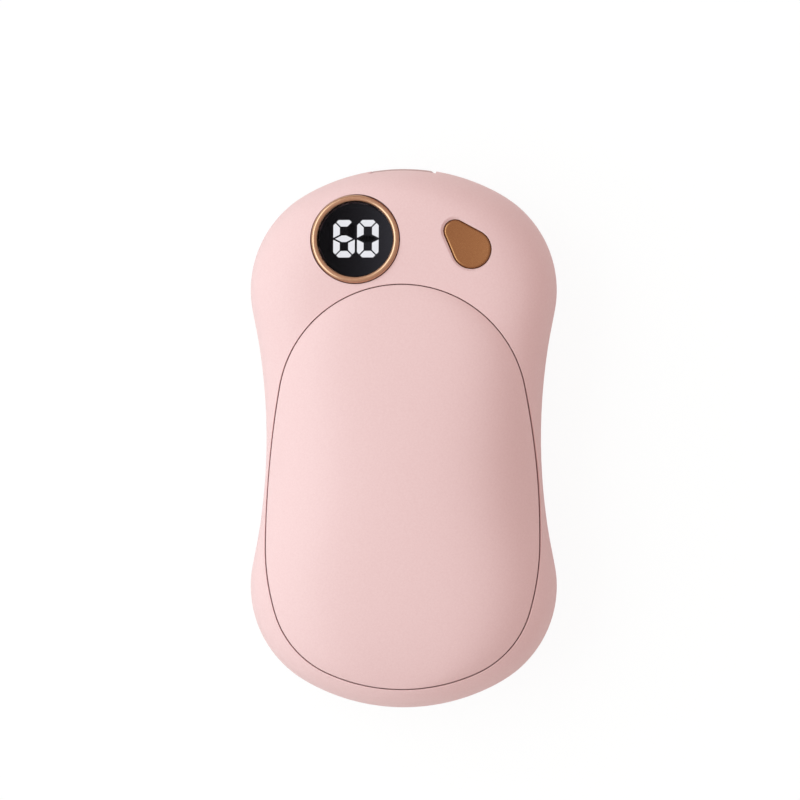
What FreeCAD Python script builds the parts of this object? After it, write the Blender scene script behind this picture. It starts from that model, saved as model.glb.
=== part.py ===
"""Rechargeable hand warmer: a palm-sized pebble with a waist, a belly panel, a round display, a teardrop
power button and a flush door over the charging socket. It lies on its flat back: the back is z = 0, the
display end points along +Y, and the display side faces +Z."""
import FreeCAD, Part
import math
import os
from FreeCAD import Vector

# Casing outline, seen from the display side
overall_length = 102.0
overall_width = 58.0
waist_depth = 3.0
shoulder_radius = 20.8
shoulder_offset = 28.0

# Casing depth: a rounded back on a flat, a short straight band, then a rounded front
rear_height = 10.0
band_height = 1.0
front_height = 12.0
rear_side_run = 14.0
rear_end_run = 8.0
front_side_run = 14.5
front_end_run = 7.0
front_round_share = 0.9
crown_rise = 0.6
wall = 2.0

# Joint between the two shells
lip_height = 1.2
lip_thickness = 0.85
lip_clearance = 0.1
reveal_height = 0.3
reveal_depth = 0.4

# Belly panel: an egg of five tangent arcs to a side, domed above the casing
panel_top = 29.05
panel_end_margin = 3.5
panel_wide_offset = 20.1
panel_side_margin = 1.88
panel_top_radius = 23.55
panel_flank_radius = 45.5
panel_corner_radius = 18.0
panel_bottom_radius = 34.3
panel_seam = 0.18
panel_crown_height = 27.5
panel_crown_offset = 12.0
panel_side_round_share = 0.3
panel_end_round_share = 0.35
panel_shoulder_power = 5
panel_edge_round = 0.15
recess_edge_round = 0.12
panel_skirt = 1.5
panel_skirt_drop = 0.9
panel_thickness = 1.7

# Ledge that carries the panel
ledge_depth = 2.2
ledge_thickness = 1.6
ledge_width = 3.4
ledge_backing = 1.8
peg_radius = 0.7
peg_length = 1.5
peg_clearance = 0.1

# Display
display_x = -8.8
display_y = 37.6
bezel_outer_radius = 8.4
bezel_inner_radius = 7.15
bezel_depth = 1.6
bezel_gap = 0.15
lens_clearance = 0.05
lens_thickness = 1.2
lens_edge_round = 0.15
display_floor = 1.0
display_tube_wall = 1.4
aperture_radius = 6.95
module_width = 13.6
module_depth = 10.2
module_height = 5.8
module_plug_radius = 6.85
module_lens_gap = 0.05
digit_width = 4.06
digit_height = 7.1
digit_gap = 0.46
digit_raise = 0.24
segment_width = 1.22
segment_corner = 1.0
segment_gap = 0.19
segment_depth = 0.8
segment_clearance = 0.02
pin_radius = 0.25
pin_pitch = 1.8
pin_rows_apart = 8.6
pins_per_row = 5
pin_tail = 0.6
pin_clearance = 0.05

# Power button
button_small_x = 10.1
button_small_y = 39.1
button_small_radius = 2.05
button_large_x = 13.2
button_large_y = 35.7
button_large_radius = 3.6
button_gap = 0.18
button_dish_radius = 26.0
button_dish_sink = 0.22
button_edge_round = 0.35
button_bevel = 0.5
button_bevel_depth = 0.3
button_flange = 0.6
button_flange_thickness = 1.0
button_flange_gap = 0.3
button_post_radius = 1.3

# Button switch on the board
switch_size = 6.0
switch_height = 3.4
switch_plate_thickness = 0.25
switch_cavity_radius = 2.2
switch_floor = 0.6
switch_hole_radius = 1.8
stem_radius = 1.7
stem_collar_radius = 2.0
stem_collar_height = 0.5
stem_length = 6.4
dome_height = 1.1
dome_sheet = 0.12
dome_clearance = 0.1

# Charging socket and its door
socket_width = 8.94
socket_height = 3.26
socket_length = 7.35
socket_sheet = 0.3
socket_clearance = 0.17
socket_setback = 3.3
tongue_width = 6.7
tongue_thickness = 0.7
tongue_setback = 0.7
tongue_base = 1.6
tongue_clearance = 0.02
contact_pitch = 0.5
contact_width = 0.25
contact_thickness = 0.04
contact_length = 3.6
contacts_per_side = 12
port_block_margin = 3.4
port_block_depth = 4.8
port_block_height = 10.4
cover_reach = 5.9
cover_height = 7.6
cover_plate = 2.3
cover_corner_radius = 1.2
cover_sink = 0.06
cover_clearance = 0.15
knuckle_radius = 1.3
knuckle_sink = 0.3
hinge_relief = 0.3
hinge_pin_radius = 0.4
hinge_pin_overhang = 0.8
hinge_pin_clearance = 0.04
notch_radius = 0.7
notch_depth = 1.4

# Case screws, driven from the front under the panel
screw_head_radius = 1.8
screw_head_height = 1.4
screw_shank_radius = 1.0
screw_length = 7.0
screw_clearance = 0.02
screw_pass_clearance = 0.15
screw_recess_length = 2.0
screw_recess_width = 0.5
screw_recess_depth = 0.7
case_screw_x = 20.4
case_screw_y = 6.0
case_screw_low_x = 21.0
case_screw_low_y = -29.0
case_screw_seat = 13.4
case_boss_radius = 2.3
case_boss_floor = 1.4
case_post_radius = 2.1
case_post_gap = 0.1

# Main board
board_inset = 5.2
board_rear_y = 26.0
board_thickness = 1.2
board_post_radius = 2.2
board_screw_x = 20.3
board_screw_y = 31.0
board_screw_length = 5.0
chip_height = 0.9
inductor_size = 6.0
inductor_height = 3.0
inductor_round = 0.8
capacitor_length = 2.0
capacitor_width = 1.25
capacitor_height = 1.0

# Battery of two pouch cells
cell_width = 31.0
cell_length = 57.0
cell_thickness = 7.6
cell_round = 2.4
cell_low_y = -39.0
tape_thickness = 0.4
protection_width = 28.0
protection_depth = 4.0
protection_thickness = 0.8
tab_width = 4.0
tab_sheet = 0.2
tab_offset = 9.0
rib_thickness = 1.2
rib_clearance = 0.15
rib_height = 9.6
rib_shares = (0.2, 0.55)

# Heaters
heat_sheet = 0.8
film_sheet = 0.2
rear_heat_width = 22.0
rear_film_width = 20.0
rear_film_tongue = 3.4
pad_thickness = 0.8
rear_corner_radius = 3.0
front_heat_inset = 5.5
film_margin = 1.0
front_heat_top = 9.0
front_pad_width = 28.0
front_pad_top = 0.0
front_pad_bottom = -34.0
thermistor_radius = 0.6
thermistor_length = 2.2
thermistor_x = 7.0
thermistor_y = 19.8

# Leads
battery_lead_radius = 0.7
heater_lead_radius = 0.5
sensor_lead_radius = 0.25

# Working values for cuts and curves
overrun = 5.0
tool_reach = 60.0
rim_angles = (15, 30, 45, 60)
rim_shoulder_angle = 78
body_spans = (5, 10, 10, 10, 5)
panel_spans = (8, 4, 4, 7, 4)
crown_shares = (0.9, 0.7, 0.45, 0.25)
dome_shares = (1.03, 1.015, 1.0, 0.98, 0.95, 0.9, 0.82, 0.7, 0.55, 0.4, 0.27, 0.16, 0.06)
dome_flat_share = 0.06
rim_halvings = 40
ledge_row_shares = (-1.0, -0.5, 0.0, 0.5, 1.0, 1.5)
bend_share = 0.45
flange_samples = 24

# Places that follow from the sizes above
split_height = rear_height
rim_height = rear_height + band_height
half_length = overall_length / 2
half_width = overall_width / 2
shoulder_x = half_width - shoulder_radius
end_reach = half_length - shoulder_offset
end_radius = (shoulder_x ** 2 + end_reach ** 2 - shoulder_radius ** 2) / (2 * (end_reach - shoulder_radius))
end_y = half_length - end_radius
waist_half = half_width - waist_depth
waist_reach = waist_half - shoulder_x
waist_radius = (waist_reach ** 2 + shoulder_offset ** 2 - shoulder_radius ** 2) / (
    2 * (shoulder_radius - waist_reach))
waist_x = waist_half + waist_radius
port_z = rear_height + band_height
board_top = port_z - socket_height / 2
board_under = board_top - board_thickness
floor_top = wall
heat_top = floor_top + heat_sheet
film_top = heat_top + film_sheet
rear_cell_low = film_top + pad_thickness
rear_cell_top = rear_cell_low + cell_thickness
front_cell_low = rear_cell_top + tape_thickness
front_cell_top = front_cell_low + cell_thickness
cell_high_y = cell_low_y + cell_length
button_x = (button_small_x + button_large_x) / 2
button_y = (button_small_y + button_large_y) / 2
socket_mouth_y = half_length - socket_setback
cover_floor_y = half_length - cover_plate
hinge_x = cover_reach - knuckle_radius
hinge_y = half_length - knuckle_sink - knuckle_radius

case_screw_places = ((case_screw_x, case_screw_y), (-case_screw_x, case_screw_y),
                     (case_screw_low_x, case_screw_low_y), (-case_screw_low_x, case_screw_low_y))
board_screw_places = ((board_screw_x, board_screw_y), (-board_screw_x, board_screw_y))


# Outlines as chains of tangent arcs: centre x, centre y, radius, first angle, last angle, and +1 or -1
# for an arc that bulges out or in. A chain runs down the right half, from the top to the bottom.

def casing_arcs():
    """The hourglass outline of the casing."""
    top_turn = math.atan2(shoulder_offset - end_y, shoulder_x)
    waist_turn = math.atan2(-shoulder_offset, waist_x - shoulder_x)
    return ((0, end_y, end_radius, math.pi / 2, top_turn, 1),
            (shoulder_x, shoulder_offset, shoulder_radius, top_turn, waist_turn, 1),
            (waist_x, 0, waist_radius, math.pi + waist_turn, math.pi - waist_turn, -1),
            (shoulder_x, -shoulder_offset, shoulder_radius, -waist_turn, -top_turn, 1),
            (0, -end_y, end_radius, -top_turn, -math.pi / 2, 1))


def casing_half_width(y):
    """Half the casing's width at a height on the waist or shoulder arcs."""
    waist_turn = math.atan2(shoulder_offset, waist_x - shoulder_x)
    if abs(y) < waist_radius * math.sin(waist_turn):
        return waist_x - math.sqrt(waist_radius ** 2 - y ** 2)
    return shoulder_x + math.sqrt(shoulder_radius ** 2 - (abs(y) - shoulder_offset) ** 2)


def panel_arcs():
    """The egg outline of the belly panel."""
    low_y = panel_end_margin - half_length
    wide_y = -panel_wide_offset
    half = casing_half_width(wide_y) - panel_side_margin
    top_y = panel_top - panel_top_radius
    drop = top_y - wide_y
    side_radius = (half ** 2 + drop ** 2 - panel_top_radius ** 2) / (2 * (half - panel_top_radius))
    side_turn = math.atan2(drop, side_radius - half)
    flank_x = half - panel_flank_radius
    low_centre = low_y + panel_bottom_radius
    apart = math.hypot(flank_x, low_centre - wide_y)
    flank_gap = panel_flank_radius - panel_corner_radius
    bottom_gap = panel_bottom_radius - panel_corner_radius
    along = (flank_gap ** 2 - bottom_gap ** 2 + apart ** 2) / (2 * apart)
    across = math.sqrt(flank_gap ** 2 - along ** 2)
    ux = -flank_x / apart
    uy = (low_centre - wide_y) / apart
    corner_x = flank_x + along * ux + across * uy
    corner_y = wide_y + along * uy - across * ux
    flank_turn = math.atan2(corner_y - wide_y, corner_x - flank_x)
    bottom_turn = math.atan2(corner_y - low_centre, corner_x)
    return ((0, top_y, panel_top_radius, math.pi / 2, side_turn, 1),
            (half - side_radius, wide_y, side_radius, side_turn, 0, 1),
            (flank_x, wide_y, panel_flank_radius, 0, flank_turn, 1),
            (corner_x, corner_y, panel_corner_radius, flank_turn, bottom_turn, 1),
            (0, low_centre, panel_bottom_radius, bottom_turn, -math.pi / 2, 1))


def arc_point(arc, angle, offset):
    """A point of an arc pushed outwards by an offset."""
    x, y, radius, first, last, side = arc
    reach = radius + side * offset
    return x + reach * math.cos(angle), y + reach * math.sin(angle)


def outline_wire(arcs, offset, height):
    """A closed outline at a height, pushed outwards by an offset."""
    edges = []
    for mirror in (1, -1):
        for arc in arcs:
            first, last = arc[3], arc[4]
            spots = [arc_point(arc, turn, offset) for turn in (first, (first + last) / 2, last)]
            points = [Vector(mirror * x, y, height) for x, y in spots]
            edges.append(Part.Arc(*points).toShape())
    return Part.Wire(Part.__sortEdges__(edges))


def outline_prism(arcs, offset, low, high):
    """A straight block of an outline."""
    return Part.Face(outline_wire(arcs, offset, low)).extrude(Vector(0, 0, high - low))


def outline_ring(arcs, spans):
    """Points round an outline with their outward normals, from the top clockwise."""
    half = []
    for arc, count in zip(arcs, spans):
        first, last, side = arc[3:]
        for step in range(count):
            angle = first + (last - first) * step / count
            half.append((*arc_point(arc, angle, 0), side * math.cos(angle), side * math.sin(angle)))
    last_arc = arcs[-1]
    half.append((*arc_point(last_arc, last_arc[4], 0), math.cos(last_arc[4]), math.sin(last_arc[4])))
    return half + [(-x, y, -nx, ny) for x, y, nx, ny in reversed(half[1:-1])]


def ring_stations(ring):
    """Distances along a ring, from its first point back to it."""
    stations = [0.0]
    for (x, y, *_), (next_x, next_y, *_) in zip(ring, ring[1:] + ring[:1]):
        stations.append(stations[-1] + math.hypot(next_x - x, next_y - y))
    return stations


casing = casing_arcs()
egg = panel_arcs()
casing_ring = outline_ring(casing, body_spans)
egg_ring = outline_ring(egg, panel_spans)
casing_stations = ring_stations(casing_ring)
egg_stations = ring_stations(egg_ring)


# Smooth skins: rows of closed level curves are the control rows of one surface

def closed_curve(points, stations):
    """A smooth closed curve through points."""
    curve = Part.BSplineCurve()
    curve.interpolate(Points=points, Parameters=stations, PeriodicFlag=True)
    return curve


def skin(curves, tip=None):
    """One smooth face that follows rows of closed curves, closed at a tip if there is one."""
    rows = [curve.getPoles() for curve in curves]
    if tip:
        rows.append([tip] * len(rows[0]))
    count = len(rows)
    net = [[row[place] for row in rows] for place in range(len(rows[0]))]
    surface = Part.BSplineSurface()
    surface.buildFromPolesMultsKnots(
        net, curves[0].getMultiplicities(), [4] + [1] * (count - 4) + [4],
        curves[0].getKnots(), list(range(count - 2)), True, False, 3, 3)
    return surface.toShape()


def level_curve(inset, runs, inset_share, height, scale=1):
    """The casing's outline drawn in at a height: more at the sides than at the ends."""
    across = scale * (1 - inset_share * runs[0] / (half_width - inset))
    along = scale * (1 - inset_share * runs[1] / (half_length - inset))
    points = [Vector((x - nx * inset) * across, (y - ny * inset) * along, height)
              for x, y, nx, ny in casing_ring]
    return closed_curve(points, casing_stations)


def body_solid(inset):
    """The whole pebble, drawn in by an inset on every side."""
    rear_runs = (rear_side_run - inset, rear_end_run - inset)
    front_runs = (front_side_run - inset, front_end_run - inset)
    rear_rise = rear_height - inset
    front_rise = front_height - inset
    sink = {angle: 1 - math.cos(math.radians(angle)) for angle in (*rim_angles, rim_shoulder_angle)}
    lift = {angle: math.sin(math.radians(angle)) for angle in (*rim_angles, rim_shoulder_angle)}
    rows = [level_curve(inset, rear_runs, 1, inset),
            level_curve(inset, rear_runs, sink[rim_shoulder_angle], inset)]
    for angle in reversed(rim_angles):
        rows.append(level_curve(inset, rear_runs, sink[angle], rear_height - rear_rise * lift[angle]))
    for height in (rear_height, rear_height + band_height / 2, rim_height):
        rows.append(level_curve(inset, rear_runs, 0, height))
    for angle in (*rim_angles, rim_shoulder_angle):
        draw = 1 - (1 - sink[angle]) ** front_round_share
        height = rim_height + front_rise * lift[angle] ** front_round_share
        rows.append(level_curve(inset, front_runs, draw, height))
    for share in crown_shares:
        height = rim_height + front_rise + crown_rise * (1 - share ** 2)
        rows.append(level_curve(inset, front_runs, 1, height, share))
    caps = [Part.Face(Part.Wire([row.toShape()])) for row in (rows[0], rows[-1])]
    shell = Part.makeShell([skin(rows), *caps])
    shell.sewShape()
    solid = Part.Solid(shell)
    if solid.Volume < 0:
        solid.reverse()
    return solid


def height_on(solid, x, y):
    """How high a solid reaches above a point."""
    line = Part.makeLine(Vector(x, y, rim_height), Vector(x, y, tool_reach))
    return line.common(solid).BoundBox.ZMax


def box(low_x, high_x, low_y, high_y, low_z, high_z):
    """A block between two corners."""
    return Part.makeBox(high_x - low_x, high_y - low_y, high_z - low_z, Vector(low_x, low_y, low_z))


def column(x, y, radius, low, high):
    """An upright cylinder."""
    return Part.makeCylinder(radius, high - low, Vector(x, y, low))


def rounded_plate(half_x, low_y, high_y, low, high, radius):
    """A flat plate about the centre line with rounded corners."""
    plate = box(-half_x, half_x, low_y, high_y, low, high)
    upright = [edge for edge in plate.Edges if edge.BoundBox.ZLength > (high - low) / 2]
    return plate.makeFillet(radius, upright)


outer_body = body_solid(0)
core_body = body_solid(wall / 2)
inner_body = body_solid(wall)
seam_heights = [height_on(outer_body, x, y) for x, y, nx, ny in egg_ring]


def dome_rise(share, round_share):
    """The height of an arch at a share of the way out to its foot: a round part less a steep shoulder."""
    return 1 - round_share * share ** 2 - (1 - round_share) * share ** panel_shoulder_power


def belly_face(inset, edge_drop, crown, shares):
    """The belly's surface, or one inside it, from its crown out to the seam: arches on an arched spine."""
    edge = [Vector(x - nx * inset, y - ny * inset, seam - edge_drop)
            for (x, y, nx, ny), seam in zip(egg_ring, seam_heights)]
    rim = closed_curve(edge, egg_stations)
    bottom_place = len(edge) // 2

    def height(spot, share):
        x = spot.x * share
        reach = (spot.y + panel_crown_offset) * share
        low, high = 0, egg_stations[bottom_place]
        for step in range(rim_halvings):
            place = (low + high) / 2
            if rim.value(place).y + panel_crown_offset > reach:
                low = place
            else:
                high = place
        side = rim.value(low)
        end = edge[0] if reach > 0 else edge[bottom_place]
        along = dome_rise(reach / (end.y + panel_crown_offset), panel_end_round_share)
        across = dome_rise(min(abs(x) / side.x, 1), panel_side_round_share)
        spine = end.z + (crown - end.z) * along
        return side.z + (spine - side.z) * across

    rows = []
    for share in shares:
        points = []
        for spot in edge:
            if share == 1:
                z = spot.z
            elif share > 1:
                z = 2 * spot.z - height(spot, 2 - share)
            elif share > dome_flat_share:
                z = height(spot, share)
            else:
                z = crown
            y = (spot.y + panel_crown_offset) * share - panel_crown_offset
            points.append(Vector(spot.x * share, y, z))
        rows.append(closed_curve(points, egg_stations))
    return skin(rows, Vector(0, -panel_crown_offset, crown))


def ledge_face(drop):
    """A ribbon that follows the seam at a depth below it."""
    rows = []
    for share in ledge_row_shares:
        points = []
        for (x, y, nx, ny), seam in zip(egg_ring, seam_heights):
            points.append(Vector(x - nx * share * ledge_width, y - ny * share * ledge_width, seam - drop))
        rows.append(closed_curve(points, egg_stations))
    return skin(rows)


def above(face):
    """Everything over a surface."""
    return face.extrude(Vector(0, 0, tool_reach))


def below(face):
    """Everything under a surface."""
    return face.extrude(Vector(0, 0, -tool_reach))


def moved(shape, x, y, z):
    """A copy of a shape in another place."""
    copy = shape.copy()
    copy.translate(Vector(x, y, z))
    return copy


inner_shares = dome_shares[dome_shares.index(1.0):]
belly_outside = belly_face(0, 0, panel_crown_height, dome_shares)
belly_inside = belly_face(panel_skirt, panel_skirt_drop, panel_crown_height - panel_thickness, inner_shares)
ledge_top_face = ledge_face(ledge_depth)
ledge_under_face = ledge_face(ledge_depth + ledge_thickness)


def seat_placement(x, y, radius):
    """A place on the outer skin, with its axis square to the mean plane of the skin round it."""
    right = height_on(outer_body, x + radius, y)
    left = height_on(outer_body, x - radius, y)
    far = height_on(outer_body, x, y + radius)
    near = height_on(outer_body, x, y - radius)
    normal = Vector((left - right) / (2 * radius), (near - far) / (2 * radius), 1)
    base = Vector(x, y, (right + left + far + near) / 4)
    return FreeCAD.Placement(base, FreeCAD.Rotation(Vector(0, 0, 1), normal))


display_seat = seat_placement(display_x, display_y, bezel_outer_radius)
button_seat = seat_placement(button_x, button_y, button_large_radius)


def seated(shape, placement):
    """A shape drawn about the origin, carried to its seat."""
    return shape.transformed(placement.toMatrix(), True)


def disc(radius, low, high):
    """A cylinder about the origin's axis."""
    return column(0, 0, radius, low, high)


# The teardrop of the button: two circles and their common tangents

def teardrop_wire(offset, height, x=0, y=0):
    """The button's outline, pushed outwards, with its place taken from a point."""
    small = Vector(button_small_x - x, button_small_y - y, height)
    large = Vector(button_large_x - x, button_large_y - y, height)
    line = small - large
    turn = math.atan2(line.y, line.x)
    spread = math.acos((button_large_radius - button_small_radius) / line.Length)
    small_reach = button_small_radius + offset
    large_reach = button_large_radius + offset

    def spot(centre, reach, angle):
        return centre + Vector(reach * math.cos(angle), reach * math.sin(angle), 0)

    small_arc = Part.Arc(spot(small, small_reach, turn - spread), spot(small, small_reach, turn),
                         spot(small, small_reach, turn + spread))
    large_arc = Part.Arc(spot(large, large_reach, turn + spread), spot(large, large_reach, turn + math.pi),
                         spot(large, large_reach, turn - spread))
    sides = [Part.LineSegment(small_arc.EndPoint, large_arc.StartPoint),
             Part.LineSegment(large_arc.EndPoint, small_arc.StartPoint)]
    return Part.Wire([small_arc.toShape(), sides[0].toShape(), large_arc.toShape(), sides[1].toShape()])


def teardrop_prism(offset, low, high):
    """A straight block of the button's outline."""
    return Part.Face(teardrop_wire(offset, low)).extrude(Vector(0, 0, high - low))


def button_ceiling():
    """The lowest point of the casing's inside over the button's flange."""
    spots = teardrop_wire(button_flange, 0).discretize(Number=flange_samples)
    return min(height_on(inner_body, spot.x, spot.y) for spot in spots)


button_flange_top = button_ceiling() - button_flange_gap
stem_low = board_top + switch_floor + dome_height
stem_high = stem_low + stem_length


def power_button():
    """Plated cap with a dished face, a flange that keeps it in and a post down to the switch."""
    low = button_flange_top - button_flange_thickness
    small = Vector(button_small_x, button_small_y, 0)
    large = Vector(button_large_x, button_large_y, 0)
    line = (small - large).normalize()
    middle = (small + line * button_small_radius + large - line * button_large_radius) / 2
    dish = Part.makeSphere(button_dish_radius, Vector(0, 0, button_dish_radius - button_dish_sink))
    dish = seated(dish, seat_placement(middle.x, middle.y, button_large_radius))
    cap = teardrop_prism(0, low, button_seat.Base.z + button_dish_radius / 2).cut(dish)
    rim = [edge for edge in cap.Edges if edge.BoundBox.ZMin > button_flange_top]
    cap = cap.makeFillet(button_edge_round, rim)
    flange = teardrop_prism(button_flange, low, button_flange_top)
    post = column(button_x, button_y, button_post_radius, stem_high, low)
    return cap.fuse([flange, post]).removeSplitter()


# Casing

def hinge_column(radius, margin):
    """A round block about the door's hinge axis."""
    reach = cover_height / 2 + margin
    return column(hinge_x, hinge_y, radius, port_z - reach, port_z + reach)


def cover_block(clearance):
    """The door's shape: a plate with two round corners and a round knuckle at its hinge."""
    half = cover_height / 2 + clearance
    plate = box(-cover_reach - clearance, hinge_x, cover_floor_y - clearance, half_length + overrun,
                port_z - half, port_z + half)
    corners = [edge for edge in plate.Edges
               if edge.BoundBox.YLength > cover_plate and edge.BoundBox.XMax < 0]
    plate = plate.makeFillet(cover_corner_radius + clearance, corners)
    return plate.fuse(hinge_column(knuckle_radius + clearance, clearance)).removeSplitter()


def slot_prism(width, height, low_y, high_y):
    """A slot with round ends about the socket's axis, along Y."""
    radius = height / 2
    reach = width / 2 - radius
    ends = [Part.makeCylinder(radius, high_y - low_y, Vector(side * reach, low_y, port_z), Vector(0, 1, 0))
            for side in (1, -1)]
    middle = box(-reach, reach, low_y, high_y, port_z - radius, port_z + radius)
    return middle.fuse(ends).removeSplitter()


def port_block():
    """Thick material behind the end wall that carries the door and the socket's mouth."""
    half = port_block_height / 2
    reach = cover_reach + port_block_margin / 2
    block = box(-reach, reach, half_length - port_block_depth, half_length, port_z - half, port_z + half)
    return block.common(core_body)


def port_cuts():
    """What the door and its swing, the hinge pin, the finger notch and the socket take out of the shells."""
    mouth = slot_prism(socket_width + 2 * socket_clearance, socket_height + 2 * socket_clearance,
                       half_length - port_block_depth - overrun, half_length)
    notch_z = port_z + cover_height / 2 - notch_radius / 2
    notch = Part.makeCylinder(notch_radius, overrun, Vector(-cover_reach, half_length - notch_depth, notch_z),
                              Vector(0, 1, 0))
    pin_hole = hinge_column(hinge_pin_radius + hinge_pin_clearance, hinge_pin_overhang)
    half = cover_height / 2 + cover_clearance
    relief = box(hinge_x, hinge_x + knuckle_radius + hinge_relief, hinge_y, half_length + overrun,
                 port_z - half, port_z + half)
    return [cover_block(cover_clearance), mouth, notch, pin_hole, relief]


def casing_ring_block(inner_inset, outer_inset, low, high):
    """An upright ring that follows the casing's outline."""
    return outline_prism(casing, -outer_inset, low, high).cut(outline_prism(casing, -inner_inset, low, high))


def half_space(low, high):
    """Everything between two heights."""
    return box(-tool_reach, tool_reach, -tool_reach, tool_reach, low, high)


def battery_ribs():
    """Upright ribs on the back that hold the cells in place."""
    inner = cell_width / 2 + rib_clearance
    ribs = []
    for share in rib_shares:
        middle = cell_low_y + share * cell_length
        for side in (1, -1):
            near, far = sorted((side * inner, side * half_width))
            ribs.append(box(near, far, middle - rib_thickness / 2, middle + rib_thickness / 2, 0, rib_height))
    low_end = cell_low_y - rib_clearance
    for side in (1, -1):
        middle = side * cell_width / 4
        ribs.append(box(middle - rib_thickness / 2, middle + rib_thickness / 2, -half_length, low_end,
                        0, rib_height))
    return ribs


def rear_shell():
    """Back half of the casing with its lip, screw posts, board posts and battery ribs."""
    shell = outer_body.cut(inner_body).common(half_space(-overrun, split_height))
    lip = casing_ring_block(wall, wall - lip_thickness, split_height - lip_height, split_height + lip_height)
    post_top = case_screw_seat - case_boss_floor - case_post_gap
    posts = [column(x, y, case_post_radius, 0, post_top) for x, y in case_screw_places]
    posts += [column(x, y, board_post_radius, 0, board_under) for x, y in board_screw_places]
    inside = [piece.common(core_body) for piece in posts + battery_ribs()]
    block = port_block().common(half_space(-overrun, split_height))
    shell = shell.fuse([lip, block, *inside])
    screw_hole = screw_shank_radius + screw_clearance
    deep = case_screw_seat - screw_length
    board_deep = board_top - board_screw_length
    holes = [column(x, y, screw_hole, deep, post_top + overrun) for x, y in case_screw_places]
    holes += [column(x, y, screw_hole, board_deep, board_under + overrun) for x, y in board_screw_places]
    for cut in [*port_cuts(), *holes]:
        shell = shell.cut(cut)
    return shell


def peg_places():
    """Where the panel's pegs stand, on the middle of the ledge."""
    inset = -ledge_width / 2
    top_x, top_y = arc_point(egg[0], egg[0][3], inset)
    side_x, side_y = arc_point(egg[2], egg[2][3], inset)
    low_x, low_y = arc_point(egg[4], egg[4][4], inset)
    return ((0, top_y), (side_x, side_y), (0, low_y), (-side_x, side_y))


def ledge_height(x, y):
    """The height of the ledge beside a point: that of the nearest point of the seam, less its depth."""
    spots = zip(egg_ring, seam_heights)
    nearest = min(spots, key=lambda spot: math.hypot(spot[0][0] - x, spot[0][1] - y))
    return nearest[1] - ledge_depth


def panel_pegs(clearance):
    """Upright pegs from the panel's skirt down into the ledge, or with a clearance the holes for them."""
    pegs = []
    for x, y in peg_places():
        seat = ledge_height(x, y)
        pegs.append(column(x, y, peg_radius + clearance, seat - peg_length - clearance,
                           seat + panel_skirt_drop))
    return pegs


def front_panel():
    """Domed belly panel with a skirt and four pegs."""
    panel = outline_prism(egg, -panel_seam / 2, rear_height, panel_crown_height + overrun)
    panel = panel.cut(above(belly_outside))
    rim = [edge for edge in panel.Edges
           if edge.BoundBox.ZMin > rim_height and edge.BoundBox.XLength > panel_seam]
    panel = panel.makeFillet(panel_edge_round, rim)
    panel = panel.cut(below(belly_inside)).cut(below(ledge_top_face))
    return panel.fuse(panel_pegs(0)).removeSplitter()


def recess_rim(shell):
    """The edges of the casing's skin round the panel."""
    seam_line = outline_wire(egg, panel_seam / 2, 0)
    rim = []
    for edge in shell.Edges:
        spot = edge.valueAt((edge.FirstParameter + edge.LastParameter) / 2)
        off_line = seam_line.distToShape(Part.Vertex(spot.x, spot.y, 0))[0]
        if off_line < panel_seam / 4 and abs(height_on(outer_body, spot.x, spot.y) - spot.z) < panel_seam / 4:
            rim.append(edge)
    return rim


def front_shell():
    """Front half of the casing: the ledge for the panel, the display's tube and the button's opening."""
    shell = outer_body.cut(inner_body).common(half_space(split_height, tool_reach))
    ledge = outline_prism(egg, ledge_backing, rear_height, tool_reach).common(core_body)
    ledge = ledge.cut(below(ledge_under_face))
    window = outline_prism(egg, -ledge_width, rear_height, tool_reach)
    ledge = ledge.cut(window)
    bosses = [column(x, y, case_boss_radius, case_screw_seat - case_boss_floor,
                     ledge_height(x, y) - ledge_thickness / 2) for x, y in case_screw_places]
    tube = disc(bezel_outer_radius + bezel_gap + display_tube_wall, -bezel_depth - display_floor, 0)
    tube = seated(tube, display_seat).common(core_body)
    block = port_block().common(half_space(split_height, tool_reach))
    shell = shell.fuse([ledge, tube, block]).cut(window).fuse(bosses)
    recess = outline_prism(egg, panel_seam / 2, rear_height, tool_reach).common(above(ledge_top_face))
    bore = seated(disc(bezel_outer_radius + bezel_gap, -bezel_depth, overrun), display_seat)
    sight = seated(disc(aperture_radius, -bezel_depth - display_floor - overrun, overrun), display_seat)
    rebate = casing_ring_block(wall + overrun, wall - lip_thickness - lip_clearance, split_height - overrun,
                               split_height + lip_height + lip_clearance)
    rebate = rebate.cut(casing_ring_block(wall + overrun, wall + lip_clearance, split_height - overrun,
                                          split_height + overrun))
    reveal = casing_ring_block(reveal_depth, -overrun, split_height - overrun, split_height + reveal_height)
    slot = teardrop_prism(button_gap, rim_height, tool_reach)
    bevel = seated(button_bevel_block(), button_seat)
    heads = [column(x, y, screw_head_radius + screw_pass_clearance, case_screw_seat, tool_reach)
             for x, y in case_screw_places]
    shanks = [column(x, y, screw_shank_radius + screw_pass_clearance, rear_height, case_screw_seat + overrun)
              for x, y in case_screw_places]
    for cuts in ([recess], [bore], [sight], [rebate], [reveal], [slot], [bevel], shanks, heads, port_cuts(),
                 panel_pegs(peg_clearance)):
        shell = shell.cut(cuts)
    return shell.makeFillet(recess_edge_round, recess_rim(shell))


def button_bevel_block():
    """A flared block that bevels the edge of the button's opening."""
    low = teardrop_wire(button_gap - button_bevel, -2 * button_bevel_depth, button_x, button_y)
    high = teardrop_wire(button_gap + 2 * button_bevel, button_bevel_depth, button_x, button_y)
    return Part.makeLoft([low, high], True, True)


# Door over the charging socket, and the socket

def port_cover():
    """Door that lies just under the casing's skin, with a bore for its hinge pin."""
    door = cover_block(0).common(moved(outer_body, 0, -cover_sink, 0))
    return door.cut(hinge_column(hinge_pin_radius + hinge_pin_clearance, overrun)).removeSplitter()


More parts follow.
